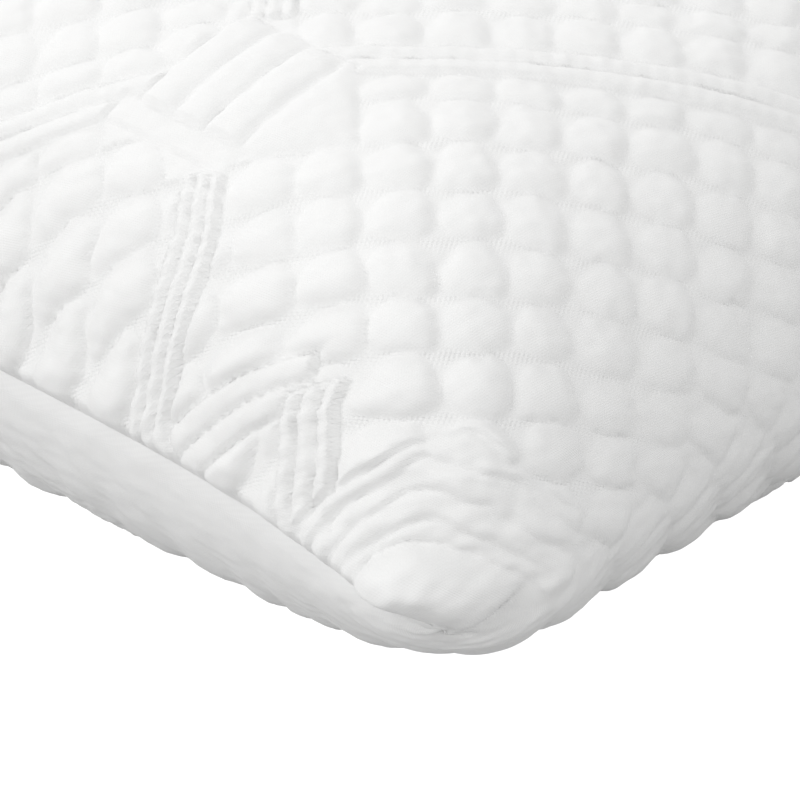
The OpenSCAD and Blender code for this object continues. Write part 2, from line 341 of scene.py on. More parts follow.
def value_noise(x, y, scale, seed):
    """Smooth noise from about -1 to 1 over the plane, with features of that size."""
    table = np.random.default_rng(seed).uniform(-1, 1, (64, 64))
    px, py = x / scale + 1000, y / scale + 1000
    ix, iy = np.floor(px).astype(int), np.floor(py).astype(int)
    fx, fy = smooth(px - ix), smooth(py - iy)
    low = table[ix % 64, iy % 64] * (1 - fx) + table[(ix + 1) % 64, iy % 64] * fx
    high = table[ix % 64, (iy + 1) % 64] * (1 - fx) + table[(ix + 1) % 64, (iy + 1) % 64] * fx
    return low * (1 - fy) + high * fy


# ---- fabric and its simulation

# Steps along a skin's grid and round each quarter of it, for its shape and for the simulation
FORM_COLUMNS, FORM_QUARTER = 160, 48
CLOTH_COLUMNS, CLOTH_QUARTER = 80, 17

CLOTH_FRAMES = 24
CLOTH_SETTINGS = {
    "pin_stiffness": 0.3, "quality": 6, "mass": 0.3, "tension_stiffness": 15, "compression_stiffness": 15,
    "shear_stiffness": 5, "bending_stiffness": 0.5, "use_pressure": True, "uniform_pressure_force": 4,
}
HELD = 0.3
MOST_MOVE = 4 * MM

# The fabric keeps its first form this far from the zip, where the tapes hold it
STILL_BY_ZIP = 45 * MM


def cloth_mesh(start):
    """A mesh of the pocket whose short sides are sewn shut, and its points' numbers on the grid."""
    columns, rows = start.shape[:2]
    fold = rows // 2
    index = np.arange(columns * rows).reshape(columns, rows)
    for end in (0, columns - 1):
        index[end, fold + 1 :] = index[end, fold - 1 :: -1]
    faces = [list(dict.fromkeys(face)) for face in grid_faces(index).tolist()]
    mesh = bpy.data.meshes.new("cloth")
    mesh.from_pydata(start.reshape(-1, 3).tolist(), [], faces)
    return mesh, index


def inflate(start):
    """Settles the pocket of fabric round its filling, from the form in start, and returns how points move.
    The fabric's rest shape is the flat pocket that it was sewn from."""
    columns, rows = start.shape[:2]
    mesh, index = cloth_mesh(start)
    cloth = link("cloth", mesh)
    i, j = np.meshgrid(np.linspace(-0.5, 0.5, columns), np.linspace(-1, 1, rows), indexing="ij")
    half_girth = line_lengths(start, 1).max() / 2
    lifted = -np.sign(j) * np.cos(np.pi * i) * MM
    flat_x, flat_y = i * line_lengths(start, 0).max(), (np.abs(j) - 0.5) * half_girth
    flat = np.stack([flat_x, flat_y, SEAM_HEIGHT + lifted], -1)
    cloth.shape_key_add(name="sewn")
    rest = cloth.shape_key_add(name="flat")
    rest.data.foreach_set("co", flat.ravel())
    held = cloth.vertex_groups.new(name="held")
    held.add(index.ravel().tolist(), HELD, "REPLACE")
    pinned = index[:, [0, 1, -2, -1]].ravel().tolist() + index[[0, -1]].ravel().tolist()
    held.add(pinned, 1.0, "REPLACE")
    modifier = cloth.modifiers.new("cloth", "CLOTH")
    modifier.collision_settings.use_collision = False
    modifier.point_cache.frame_end = CLOTH_FRAMES
    settings = modifier.settings
    settings.rest_shape_key = rest
    settings.vertex_group_mass = held.name
    for name, value in CLOTH_SETTINGS.items():
        setattr(settings, name, value)
    settings.effector_weights.gravity = 0
    for number in range(1, CLOTH_FRAMES + 1):
        bpy.context.scene.frame_set(number)
    settled = cloth.evaluated_get(bpy.context.evaluated_depsgraph_get()).data
    points = np.empty(start.size)
    settled.vertices.foreach_get("co", points)
    moved = points.reshape(-1, 3)[index.ravel()].reshape(start.shape) - start
    bpy.data.objects.remove(cloth)
    bpy.context.scene.frame_set(1)
    far = np.linalg.norm(moved, axis=-1, keepdims=True)
    return moved * np.minimum(1, MOST_MOVE / np.maximum(far, MM))


def cover_moves():
    """How the cover's fabric settles."""
    start = form_grid(COVER_OUTER, CLOTH_COLUMNS, CLOTH_QUARTER)
    for end in (0, -1):
        start[end] = (start[end] + start[end, ::-1]) / 2
    return inflate(start)


class Fabric:
    """A skin as a sewn pocket of fabric, which says where each place (s, t) of it lies."""

    def __init__(self, skin, moves=None):
        self.skin, self.moves = skin, moves
        self.grid = form_grid(skin, FORM_COLUMNS, FORM_QUARTER)
        self.length = line_lengths(self.grid, 0).max()
        ends = range(0, 4 * FORM_QUARTER, FORM_QUARTER)
        spans = [line_lengths(self.grid[:, k : k + FORM_QUARTER + 1], 1).max() for k in ends]
        self.over, self.under = spans[0] + spans[1], spans[2] + spans[3]
        self.stops = np.array([self.over, spans[1], 0.0, -spans[2], -self.under])

    def shares(self, s, t):
        """Shares from 0 to 1 along the pocket, and round it from the upper lip to the lower one."""
        return s / self.length + 0.5, np.interp(-t, -self.stops, np.linspace(0, 1, len(self.stops)))

    def lay(self, s, t):
        """Points at every pair of those places."""
        along, around = self.shares(s, t)
        points = read_grid(self.grid, along, around)
        if self.moves is not None:
            still = smooth(np.minimum(self.over - t, self.under + t) / STILL_BY_ZIP)
            points = points + read_grid(self.moves, along, around) * still[None, :, None]
        return points


# ---- quilting

# The quilting is a square lattice of puffs at 45 degrees to the pillow's sides. Places in it are counted in
# pitches: i to the right and j towards the corner, as the camera sees them. The pattern repeats every REPEAT.
PITCH = 16.7 * MM
ORIGIN_S = -242.3 * MM
ORIGIN_T = 125.1 * MM
REPEAT = 13
FIRST_COLUMN = -6.5
FIRST_ROW = -3.5

# Near each sewn side the fabric is drawn over the filling's shoulder, so its pattern is stretched there
DRAWN_FROM = 298 * MM
DRAWN_OVER = 52.4 * MM
DRAWN_BY = 22.5 * MM
DRAWN_POWER = 1.35

PUFF_HEIGHT = 2.5 * MM
RIB_HEIGHT = 3.0 * MM
CORD_HEIGHT = 1.9 * MM
STRIP_HEIGHT = 0.9 * MM
FOLD_HEIGHT = 1.9 * MM
QUILT_GROUND = 1.8 * MM

# How far the stitching wanders from its true place, in puffs and in bands, and over what lengths
WANDER = 0.07
BAND_WANDER = 0.02
WANDER_LONG, WANDER_SHORT = 9 * MM, 3.5 * MM

# A puff's section: how square it is, and its crown. Its top lies SAG towards the corner and to the right, and
# neighbours in a row stay joined. A puff whose middle the block of ribs covers lies flat
SQUARE = 2.6
CROWN, CROWN_SIDES = 2.2, 0.75
SAG = 0.27
SAG_ACROSS = 0.2
JOINED = 0.16
FLAT_BY_BLOCK = 0.3

# How much puffs differ in place, lean and size
UNEVEN_PLACE, UNEVEN_LEAN, UNEVEN_SIZE = 0.10, 0.14, 0.18

# How far from a region's edge a puff regains its height, and how soon a band starts
EDGE_ROLL = 0.2
BAND_START = 0.05

# Rows of puffs that the level band cuts short: start, end, middle and half height. The first two are only
# right of CUT_FROM
CUT_ROWS = (
    (FIRST_ROW, -2.9, -3.2, 0.3), (-2.9, -1.9, -2.42, 0.5),
    (-2.5, -1.84, -2.18, 0.34), (-1.84, -0.5, -0.82, 0.33),
)
CUT_FROM = -3.5

# The bands: half widths, numbers of cords, middles, and where they start and end. The level band steps at the
# block of ribs, and the upright band's middle runs through places (j, i)
LEVEL_HALF, LEVEL_CORDS = 0.37, 2
LEVEL_STEP, LEVEL_LEFT, LEVEL_RIGHT = -3.3, -1.45, -1.53
UPRIGHT_HALF, UPRIGHT_CORDS = 0.36, 3
UPRIGHT_PATH = (-3.5, -1.75), (-2.9, -1.8), (0.5, -2.85), (4, -3.3), (9.5, -1.75)
UPRIGHT_FROM, UPRIGHT_TO = 0.5, -2.8
INNER_LEVEL_HALF, INNER_LEVEL_CORDS = 0.40, 2
INNER_LEVEL, INNER_LEVEL_SLOPE, INNER_LEVEL_END = 4.74, 0.08, -1.0
INNER_UPRIGHT_HALF, INNER_UPRIGHT_CORDS = 0.33, 3
INNER_UPRIGHT, INNER_UPRIGHT_LEAN, INNER_UPRIGHT_BEND = -0.92, 0.25, 5.2
INNER_UPRIGHT_FROM, INNER_UPRIGHT_TO = 4.75, 9.3

# Uneven height of the cords along a band
RUFFLE = 0.06
RUFFLE_PITCH = 0.29

# The block of ribs: i + j at the grooves across its ribs, and i - j at the ribs' ends. The strip lies along
# their low ends, and the gusset below the last groove
RIB_GROOVES = (-5.17, -4.18, -3.19, -2.15)
RIB_START, RIB_END = -2.53, 0.80
RIB_FADE = 0.5
STRIP_START, STRIP_END = -3.27, -2.55
STRIP_FROM, STRIP_TO = -5.60, -1.90
GUSSET_RIGHT, GUSSET_LOW = -0.53, 0.47
GUSSET_FULL = 0.9

# How steep the edges of a rib, the strip and the gusset are, against other regions
RIB_STEEP, STRIP_STEEP, GUSSET_STEEP = 0.45, 1.5, 0.35

# Folds arched round the tip of the corner, where the fabric is crushed: where they start, as j at the arches'
# middle, and the arches' form. The last but one is a full puff, and the last is the plain fabric under it
TIP_I, TIP_J = 1.54, 8.80
FOLD_LINES = (5.80, 6.17, 6.65, 7.05, 7.32, 8.19, 9.6)
ARCH_MIDDLE, ARCH_SLOPE, ARCH_ROUND = 0.70, 0.80, 0.35
FOLD_FULL = 0.45
LAST_MIDDLE, LAST_HALF, LAST_FULL, UNDER_LAST = 1.05, 0.85, 3.3, 0.15
CRUSHED_REACH, CRUSHED_FADE = 4.3, 0.8
CRUSHED_RIGHT, CRUSHED_RIGHT_FADE = 2.9, 0.9
CRUSHED_MOST = 0.75


def lattice_place(s, t):
    """Where a point of the fabric lies in the lattice, in pitches."""
    reach = np.abs(s)
    drawn = DRAWN_BY * (np.maximum(0, reach - DRAWN_FROM) / DRAWN_OVER) ** DRAWN_POWER
    from_s = np.sign(s) * (reach - drawn) - ORIGIN_S
    from_t = t - ORIGIN_T
    i = (from_s - from_t) * math.sqrt(0.5) / PITCH
    j = (-from_s - from_t) * math.sqrt(0.5) / PITCH
    return i, j


def wrapped(value, first):
    """The same place within one repeat of the pattern."""
    return (value - first) % REPEAT + first


def roll(inside):
    """A rounded rise just inside a region's edge, from 0 at the edge to 1."""
    share = np.clip(inside / EDGE_ROLL, 0, 1)
    return np.sqrt(1 - (1 - share) ** 2)


def between(value, low, high):
    """How far a value is inside a range. It is negative outside."""
    return np.minimum(value - low, high - value)


def row_of(i, j):
    """Middle and half height of the row of puffs at j."""
    right = i > CUT_FROM
    cases = [(j >= row[0]) & (j < row[1]) & (right | (number > 1)) for number, row in enumerate(CUT_ROWS)]
    middle = np.select(cases, [row[2] for row in CUT_ROWS], np.round(j))
    half = np.select(cases, [row[3] for row in CUT_ROWS], 0.5)
    return middle, half


def each_way(column, row, seed):
    """A number from -1 to 1 that belongs to one puff."""
    return value_noise(column * 7.3 + 0.5, row * 5.1 + 0.5, 1.0, seed)


def puffs(i, j):
    """Heights of the puffs, from 0 to about 1, and 1 where a puff lies flat beside the block of ribs."""
    column, (row, half) = np.round(i), row_of(i, j)
    across = (i - column) / 0.5 + UNEVEN_PLACE * each_way(column, row, 13)
    down = (j - row) / half + UNEVEN_PLACE * each_way(column, row, 14)
    lean = UNEVEN_LEAN * each_way(column, row, 11)
    across, down = across + lean * down, down - lean * across
    down = down - SAG * (1 - np.clip(down, -1, 1) ** 2)
    across = across - SAG_ACROSS * (1 - np.clip(across, -1, 1) ** 2)
    spread = (np.abs(across) ** SQUARE + np.abs(down) ** SQUARE) ** (1 / SQUARE)
    size = 1 + UNEVEN_SIZE * each_way(column, row, 12)
    single = np.maximum(0, 1 - (spread / 1.02) ** CROWN) ** CROWN_SIDES
    joined = JOINED * np.maximum(0, 1 - np.abs(down) ** CROWN) ** 0.9
    height = np.maximum(single, joined) * size * np.sqrt(half / 0.5)
    by_block = smooth(rib_block(column, row)[1] / 0.1 + 1.5)
    return height * (1 - by_block) + FLAT_BY_BLOCK * by_block, by_block


def cords(x, count):
    """Cords side by side across a band, with x from -1 to 1 over its width."""
    within = ((x + 1) / 2 * count) % 1 * 2 - 1
    return np.where(np.abs(x) < 1, np.maximum(0, 1 - np.abs(within) ** SQUARE) ** 0.5, 0)


def bands(i, j):
    """Each band: its way, its place across itself from -1 to 1, how far inside its ends a point is, its half
    width and its number of cords."""
    level = np.where(i < LEVEL_STEP, LEVEL_LEFT, LEVEL_RIGHT)
    yield "level", (j - level) / LEVEL_HALF, np.ones_like(i), LEVEL_HALF, LEVEL_CORDS
    upright = np.interp(j, *zip(*UPRIGHT_PATH))
    ends = np.maximum(j - UPRIGHT_FROM, UPRIGHT_TO - j)
    yield "upright", (i - upright) / UPRIGHT_HALF, ends, UPRIGHT_HALF, UPRIGHT_CORDS
    inner = INNER_LEVEL + INNER_LEVEL_SLOPE * i
    ends = np.minimum(i - upright - UPRIGHT_HALF, INNER_LEVEL_END - i)
    yield "level", (j - inner) / INNER_LEVEL_HALF, ends, INNER_LEVEL_HALF, INNER_LEVEL_CORDS
    inner = INNER_UPRIGHT + INNER_UPRIGHT_LEAN * np.clip(j - INNER_UPRIGHT_BEND, 0, 2)
    ends = between(j, INNER_UPRIGHT_FROM, INNER_UPRIGHT_TO)
    yield "upright", (i - inner) / INNER_UPRIGHT_HALF, ends, INNER_UPRIGHT_HALF, INNER_UPRIGHT_CORDS


def rib_block(i, j):
    """Height of the block of ribs, its strip and its gusset, and how far inside them a point is."""
    across, along = i + j, i - j
    grooves = np.array(RIB_GROOVES)
    first, last = grooves[[0, -1]]
    block = np.minimum(between(across, first, last), between(along, RIB_START, RIB_END))
    nearest = np.abs(across[..., None] - grooves).min(-1)
    ribs = roll(nearest * RIB_STEEP) * roll(along - RIB_START)
    ribs *= np.sqrt(np.clip((RIB_END - along) / RIB_FADE, 0, 1))
    strip = np.minimum(between(along, STRIP_START, STRIP_END), between(across, STRIP_FROM, STRIP_TO))
    inside = between(along, STRIP_END, RIB_END)
    gusset = np.minimum.reduce([across - last, GUSSET_RIGHT - i, GUSSET_LOW - j, inside])
    heights = [
        np.where(block > 0, ribs * RIB_HEIGHT, 0),
        roll(strip * STRIP_STEEP) * STRIP_HEIGHT,
        roll(gusset * GUSSET_STEEP) * GUSSET_FULL * PUFF_HEIGHT,
    ]
    return np.maximum.reduce(heights), np.maximum.reduce([block, strip, gusset])


def crushed(i, j):
    """Height of the folds towards the corner, and how much they take over from the puffs."""
    from_tip = np.hypot(i - TIP_I, j - TIP_J)
    x, y = i * PITCH, j * PITCH
    bend = 0.12 * value_noise(x, y, 8 * MM, 21) + 0.08 * value_noise(x, y, 3.6 * MM, 22)
    bend *= smooth(from_tip - 1.0)
    place = j - ARCH_SLOPE * (np.hypot(i - ARCH_MIDDLE, ARCH_ROUND) - ARCH_ROUND) + bend
    lines = np.array(FOLD_LINES)
    before = np.clip(np.searchsorted(lines, place) - 1, 0, len(lines) - 2)
    low, high = lines[before], lines[before + 1]
    within = np.clip((place - low) / (high - low), 0, 1)
    ridges = np.sin(math.pi * within**1.4) ** 0.7 * np.minimum(1, (high - low) / FOLD_FULL)
    gather = 0.8 * i + 0.37 * before + 0.3 * value_noise(x, y, 8 * MM, 23)
    short = 0.25 + 0.75 * np.abs(np.cos(math.pi * gather)) ** 0.8
    last = np.clip(1 - np.abs((i - LAST_MIDDLE) / LAST_HALF) ** 3, 0, 1) ** 0.5 * LAST_FULL
    ridges *= np.select([before < len(lines) - 3, before < len(lines) - 2], [short, last], UNDER_LAST)
    wrinkles = 0.12 * value_noise(x, y, 2.4 * MM, 24) + 0.10 * value_noise(x + y, x - y, 4 * MM, 25)
    share = smooth((place - lines[0] + 0.06) / 0.12)
    share *= smooth((CRUSHED_REACH - from_tip) / CRUSHED_FADE)
    share *= smooth((CRUSHED_RIGHT - i) / CRUSHED_RIGHT_FADE)
    share *= CRUSHED_MOST + (1 - CRUSHED_MOST) * smooth((place - lines[3]) / 0.2)
    return (ridges + wrinkles) * FOLD_HEIGHT, share


def quilt(s, t):
    """Height of the quilting over the fabric's ground, and how much of a place is tie-down patch, level band
    and upright band."""
    flat_i, flat_j = lattice_place(s, t)
    wander_i = value_noise(s, t, WANDER_LONG, 41) + 0.4 * value_noise(s, t, WANDER_SHORT, 42)
    wander_j = value_noise(s, t, WANDER_LONG, 43) + 0.4 * value_noise(s, t, WANDER_SHORT, 44)
    i = wrapped(flat_i + BAND_WANDER * wander_i, FIRST_COLUMN)
    j = wrapped(flat_j + BAND_WANDER * wander_j, FIRST_ROW)
    block, block_inside = rib_block(i, j)
    puff_i, puff_j = flat_i + WANDER * wander_i, flat_j + WANDER * wander_j
    height, by_block = puffs(wrapped(puff_i, FIRST_COLUMN), wrapped(puff_j, FIRST_ROW))
    height *= PUFF_HEIGHT
    patch = np.clip(1 - height / (0.10 * PUFF_HEIGHT), 0, 1) * (1 - by_block)
    height *= roll(-block_inside)
    banded = {"level": np.zeros_like(i), "upright": np.zeros_like(i)}
    for way, across, ends, half, count in bands(i, j):
        inside = np.minimum(np.minimum(ends, (1 - np.abs(across)) * half), -block_inside)
        ruffle = 1 + RUFFLE * np.cos(2 * math.pi / RUFFLE_PITCH * (i if way == "level" else j))
        band = cords(across, count) * np.clip(inside / BAND_START, 0, 1) * ruffle
        height = np.maximum(height * roll(-inside), band * CORD_HEIGHT)
        banded[way] = np.maximum(banded[way], np.clip(inside / BAND_START + 1, 0, 1))
    height = np.maximum(height, block)
    folds, share = crushed(flat_i, flat_j)
    height = height * (1 - share) + folds * share
    patch *= (1 - banded["level"]) * (1 - banded["upright"]) * (1 - share)
    patch *= np.clip(-block_inside / BAND_START, 0, 1)
    return height, {"patch": patch, **banded}


# ---- panels of fabric

# The side seams: how far they are drawn in, over what width, and where they run out before the front fold
SEAM_DEPTH = 3.0 * MM
SEAM_REACH = 2.4 * MM
SEAM_RUN_OUT = 9 * MM

# The upper fabric hangs out over a side seam, and the lower fabric is tucked in under it
OVERHANG = 2.2 * MM
TUCK_UNDER = 0.8 * MM
OVERHANG_REACH = 13 * MM

# The tips of the front corners: how they are rounded, the bulge of the upper fabric, which is less at the
# very tip, and the slit under it
TIP_REACH = 32 * MM
TIP_PASSES = 220
BULGE = 4.3 * MM
BULGE_WAY = 0.45, -0.45, -0.6
BULGE_REACH = 48 * MM
BULGE_WIDTH = 9 * MM
BULGE_EDGE = 2.5 * MM
BLUNT, BLUNT_REACH = 0.15, 13 * MM
SLIT_AT = -2.5 * MM
SLIT_SLOPE = -0.3
SLIT_LENGTH = 17 * MM
SLIT_START, SLIT_END = 4 * MM, 5 * MM
SLIT_HALF = 1.2 * MM
SLIT_DEPTH = 4 * MM

# Spacing of the mesh's points: fine where the camera is close, on the left over the top and under the fold
FINE_STEP = 1.0 * MM
COARSE_STEP = 2.7 * MM
LINER_STEP = 6 * MM
SEAM_PLACES = 0, 0.4, 0.9, 1.5, 2.2, 3.0
FINE_ALONG = 262 * MM
FINE_OVER = 248 * MM
FINE_UNDER = 42 * MM

# The quilting is flat beside the zip
FLAT_BY_ZIP = 15 * MM
FLAT_FADE = 6 * MM


def steps_between(start, end, step):
    return np.linspace(start, end, max(1, round((end - start) / step)), endpoint=False)


def places_along(length, fine, coarse, fine_length):
    """Places from one sewn side of the fabric to the other, close together at both."""
    close = np.array(SEAM_PLACES) * MM
    start = close[-1] + fine
    parts = close, steps_between(start, fine_length, fine), steps_between(fine_length, length - start, coarse)
    return np.concatenate([*parts, length - start, length - close[::-1]], axis=None) - length / 2


def places_round(fabric, fine, coarse, fine_over, fine_under):
    """Places round the fabric, from the upper lip to the lower one."""
    parts = (
        steps_between(-fabric.over, -fine_over, coarse),
        steps_between(-fine_over, fine_under, fine),
        steps_between(fine_under, fabric.under, coarse),
    )
    return -np.concatenate([*parts, fabric.under], axis=None)


def unit(vectors):
    return vectors / np.maximum(np.linalg.norm(vectors, axis=-1, keepdims=True), 1e-12)


def grid_normals(points):
    """Outward unit normals of a skin's grid of points."""
    return unit(np.cross(np.gradient(points, axis=1), np.gradient(points, axis=0)))


def stitch(first, second, first_reach, second_reach):
    """Triangles between two lines of points. Each reach rises along its line and picks the next point."""
    faces, a, b = [], 0, 0
    while a < len(first) - 1 or b < len(second) - 1:
        both = a < len(first) - 1 and b < len(second) - 1
        take_first = first_reach[a + 1] <= second_reach[b + 1] if both else b == len(second) - 1
        after = first[a + 1] if take_first else second[b + 1]
        faces.append([int(first[a]), int(second[b]), int(after)])
        a, b = (a + 1, b) if take_first else (a, b + 1)
    return faces


class Surface:
    """One face of a panel as a grid of points, numbered from start in the panel's mesh."""

    def __init__(self, points, s, t, start, mouth_half):
        self.points, self.s, self.t = points, s, t
        self.index = start + np.arange(points[..., 0].size).reshape(points.shape[:2])
        self.fold = int(np.argmin(np.abs(t)))
        open_columns = np.flatnonzero(np.abs(points[:, 0, 0]) < mouth_half)
        self.mouth = slice(open_columns[0], open_columns[-1] + 1) if len(open_columns) else slice(0, 1)

    def faces(self):
        """The grid's quads, the sewn sides, and the closed parts of the back."""
        index = self.index
        quads = grid_faces(index).tolist()
        for end in (0, -1):
            top, bottom = index[end, self.fold :: -1], index[end, self.fold :]
            quads += stitch(top, bottom, self.t[self.fold :: -1], -self.t[self.fold :])
        for part in (slice(0, self.mouth.start + 1), slice(self.mouth.stop - 1, None)):
            upper, lower = index[part, 0], index[part, -1]
            quads += np.stack([upper[:-1], upper[1:], lower[1:], lower[:-1]], -1).tolist()
        return quads


def rim_faces(outer, inner):
    """Faces that join a panel's two surfaces round its mouth."""
    faces = []
    for row in (0, -1):
        lines = outer.index[outer.mouth, row], inner.index[inner.mouth, row]
        faces += stitch(*lines, outer.s[outer.mouth], inner.s[inner.mouth])
    for end in (0, -1):
        a, b = outer.index[outer.mouth][end], inner.index[inner.mouth][end]
        faces.append([int(a[0]), int(a[-1]), int(b[-1]), int(b[0])])
    return faces


def add_object(name, points, faces, material):
    """A smooth object whose faces all look outwards."""
    mesh = bpy.data.meshes.new(name)
    distinct = [list(dict.fromkeys(face)) for face in faces]
    mesh.from_pydata(points.tolist(), [], [face for face in distinct if len(face) > 2])
    work = bmesh.new()
    work.from_mesh(mesh)
    bmesh.ops.recalc_face_normals(work, faces=work.faces)
    work.to_mesh(mesh)
    work.free()
    mesh.shade_smooth()
    mesh.materials.append(material)
    return link(name, mesh)


def add_attribute(mesh, name, values):
    """A number at each point of the mesh, which its material reads."""
    padded = np.zeros(len(mesh.vertices))
    padded[: values.size] = values.ravel()
    mesh.attributes.new(name, "FLOAT", "POINT").data.foreach_set("value", padded)


def add_weave_map(mesh, s, t):
    """A UV map in metres of fabric. Points past the grid keep its first place."""
    places = np.zeros((len(mesh.vertices), 2))
    grid = np.stack(np.meshgrid(s, t, indexing="ij"), -1).reshape(-1, 2)
    places[: len(grid)] = grid
    layer = mesh.uv_layers.new(name="fabric")
    corners = np.empty(len(mesh.loops), int)
    mesh.loops.foreach_get("vertex_index", corners)
    layer.data.foreach_set("uv", places[corners].ravel())


def sewn_in(points, ground, fabric, s, t, depth, reach):
    """Draws the fabric's edges into the seams along the short sides. The seam runs out at the front fold."""
    other_side = -t * np.where(t > 0, fabric.under / fabric.over, fabric.over / fabric.under)
    edges = ground[[0, -1]]
    facing = [[np.interp(-other_side, -t, edge[:, axis]) for axis in range(3)] for edge in edges]
    seams = (edges + np.array(facing).swapaxes(1, 2)) / 2
    seams[..., 0] -= np.sign(seams[..., 0]) * depth * smooth(np.abs(t) / SEAM_RUN_OUT)
    seam = np.where(s[:, None, None] < 0, seams[0], seams[1])
    close = smooth(1 - (fabric.length / 2 - np.abs(s)) / reach)[:, None, None]
    return points * (1 - close) + seam * close


# ---- materials


def make_material(name, color, roughness, sheen=0.0):
    material = bpy.data.materials.new(name)
    material.use_nodes = True
    shader = material.node_tree.nodes["Principled BSDF"]
    set_inputs(shader, Base_Color=(*color, 1.0), Roughness=roughness, Specular_IOR_Level=0.25)
    set_inputs(shader, Sheen_Weight=sheen, Sheen_Roughness=0.5)
    return material


def add_bump(material, height, strength, distance):
    """Fine relief on the material, from a node's output."""
    nodes, links = material.node_tree.nodes, material.node_tree.links
    bump = nodes.new("ShaderNodeBump")
    set_inputs(bump, Strength=strength, Distance=distance)
    links.new(height, bump.inputs["Height"])
    links.new(bump.outputs["Normal"], nodes["Principled BSDF"].inputs["Normal"])


def weave_pattern(material, pitch_along, pitch_across, angle=0.0):
    """Height of crossed threads, in the mesh's fabric map."""
    nodes, links = material.node_tree.nodes, material.node_tree.links
    place = nodes.new("ShaderNodeUVMap")
    place.uv_map = "fabric"
    turn = nodes.new("ShaderNodeMapping")
    set_inputs(turn, Rotation=(0, 0, math.radians(angle)))
    links.new(place.outputs["UV"], turn.inputs["Vector"])
    split = nodes.new("ShaderNodeSeparateXYZ")
    links.new(turn.outputs["Vector"], split.inputs["Vector"])
    waves = []
    for axis, pitch in (("X", pitch_along), ("Y", pitch_across)):
        scaled = maths(material, "MULTIPLY", split.outputs[axis], 2 * math.pi / pitch)
        waves.append(maths(material, "SINE", scaled))
    return maths(material, "MULTIPLY", *waves)


def maths(material, operation, *values):
    """A node output worked out from others and from numbers."""
    node = material.node_tree.nodes.new("ShaderNodeMath")
    node.operation = operation
    for socket, value in zip(node.inputs, values):
        if isinstance(value, (int, float)):
            socket.default_value = value
        else:
            material.node_tree.links.new(value, socket)
    return node.outputs["Value"]


def attribute(material, name):
    node = material.node_tree.nodes.new("ShaderNodeAttribute")
    node.attribute_name = name
    return node.outputs["Fac"]


def quilted_knit():
    """White knit with a fine stitch, an open mesh on the tie-down patches, and ruffles along the bands."""
    material = make_material("quilted_knit", (0.90, 0.90, 0.895), 0.92, sheen=0.15)
    height = maths(material, "MULTIPLY", weave_pattern(material, 1.1 * MM, 0.8 * MM, 45), 0.5)
    textures = {
        "patch": (weave_pattern(material, 1.7 * MM, 1.5 * MM, 12), 2.2),
        "level": (weave_pattern(material, 2.3 * MM, 60 * MM, 45), 0.5),
        "upright": (weave_pattern(material, 60 * MM, 2.3 * MM, 45), 0.5),
    }
    for name, (pattern, share) in textures.items():
        there = maths(material, "MULTIPLY", pattern, attribute(material, name))
        height = maths(material, "ADD", height, maths(material, "MULTIPLY", there, share))
    add_bump(material, height, 0.55, 0.10 * MM)
    return material


# ---- the cover

# How much of its height the quilting keeps, as tightness() says
LOOSE_MIDDLE, LOOSE_SIDE, LOOSE_REACH = 0.74, 1.15, 95 * MM
AT_SEAM, AT_SEAM_REACH = 0.5, 9 * MM
AT_FOLD, AT_FOLD_REACH = 0.62, 45 * MM
UNDER_SEAM, UNDER_SEAM_FROM, UNDER_SEAM_REACH = 0.15, 8 * MM, 70 * MM
UNDER_FOLD, UNDER_FOLD_REACH = 0.4, 70 * MM
FOLD_WIDTH = 6 * MM


def rising(start, share):
    """A smooth rise from start to 1 as the share goes from 0 to 1."""
    return start + (1 - start) * smooth(share)


def tightness(from_seam, t):
    """How much of its height the quilting keeps. It is looser towards the short sides, and stretched flatter
    right beside their seams and under the fold."""
    over = rising(AT_SEAM, from_seam / AT_SEAM_REACH) * rising(AT_FOLD, t / AT_FOLD_REACH)
    over = over * (LOOSE_MIDDLE + LOOSE_SIDE * smooth(1 - from_seam / LOOSE_REACH))
    under = rising(UNDER_SEAM, (from_seam - UNDER_SEAM_FROM) / UNDER_SEAM_REACH)
    under = under * rising(UNDER_FOLD, -t / UNDER_FOLD_REACH)
    return under + (over - under) * smooth(0.5 + t / FOLD_WIDTH)


def creases(s, t):
    """Small uneven relief of the fabric itself."""
    large = value_noise(s, t, 13 * MM, 31) * 0.30
    small = value_noise(s + t, s - t, 4.5 * MM, 32) * 0.18 + value_noise(s, t, 2.6 * MM, 33) * 0.14
    return (large + small) * MM


def laid_plain(skin, moves, step):
    """A skin's fabric laid smooth, with even places on it: the fabric, the places and the points."""
    fabric = Fabric(skin, moves)
    s = places_along(fabric.length, step, step, fabric.length / 2)
    t = places_round(fabric, step, step, fabric.over / 2, fabric.under / 2)
    return fabric, s, t, fabric.lay(s, t)


def make_panel(name, outer, inner, mouth_half, material):
    """A panel of fabric between two faces, each given as its places s and t and its points. It has a mouth
    along the back, up to that far from the middle. Without an inner face it is a solid, and has no mouth."""
    outer_face = Surface(outer[2], outer[0], outer[1], 0, mouth_half)
    points, faces = [outer[2].reshape(-1, 3)], outer_face.faces()
    if inner:
        inner_face = Surface(inner[2], inner[0], inner[1], outer_face.index.size, mouth_half)
        points.append(inner[2].reshape(-1, 3))
        faces += inner_face.faces() + rim_faces(outer_face, inner_face)
    made = add_object(name, np.concatenate(points), faces, material)
    add_weave_map(made.data, outer[0], outer[1])
    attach(made, BODY)
    return made


